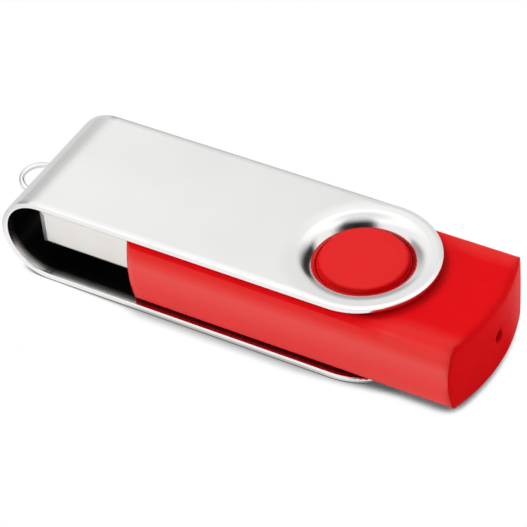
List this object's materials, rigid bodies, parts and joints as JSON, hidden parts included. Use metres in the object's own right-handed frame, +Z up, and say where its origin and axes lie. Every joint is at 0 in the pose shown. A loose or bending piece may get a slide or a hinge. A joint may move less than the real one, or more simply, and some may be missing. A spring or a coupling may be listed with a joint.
{
  "type": "usb flash drive",
  "caption": "Swivel flash drive: red moulded case with a standard plug, turning on round bosses in a U-shaped silver sheet-metal clip with a wire keyring loop on its bend.",
  "frame": {"origin": "under the middle of the closed drive's bounding box, on the plane it lies on", "axes": "+X along the drive from the keyring loop to the light hole, +Z up along the swivel axis"},
  "size_m": [0.058, 0.0168, 0.0106],
  "materials": {
    "case_plastic": "satin moulded",
    "clip_metal": "satin with bright edges",
    "loop_wire": "bright drawn wire",
    "plug_steel": "nickel plated",
    "insulator_plastic": "moulded",
    "contact_metal": "gold plated",
    "board_laminate": "solder mask",
    "chip_resin": "moulded resin",
    "lead_metal": "tinned",
    "crystal_steel": "drawn can",
    "led_base_plastic": "moulded",
    "led_resin": "clear resin",
    "capacitor_body": "fired ceramic",
    "resistor_body": "coated ceramic"
  },
  "bodies": {
    "case": {"upper_shell": "case_plastic", "lower_shell": "case_plastic", "plug_shell": "plug_steel", "plug_insulator": "insulator_plastic", "power_contact": "contact_metal", "data_minus_contact": "contact_metal", "data_plus_contact": "contact_metal", "ground_contact": "contact_metal", "circuit_board": "board_laminate", "memory_chip": "chip_resin", "memory_leads": "lead_metal", "controller_chip": "chip_resin", "controller_leads": "lead_metal", "crystal_can": "crystal_steel", "crystal_leads": "crystal_steel", "led_base": "led_base_plastic", "led_lens": "led_resin", "bypass_capacitors": "capacitor_body", "chip_resistors": "resistor_body"},
    "clip": {"swivel_clip": "clip_metal", "keyring_loop": "loop_wire"}
  },
  "joints": [
    {"name": "clip_swivel", "type": "hinge", "parent": "case", "child": "clip", "pos_m": [0.0137, 0, 0.00529], "axis": [0, 0, 1], "continuous": true}
  ]
}
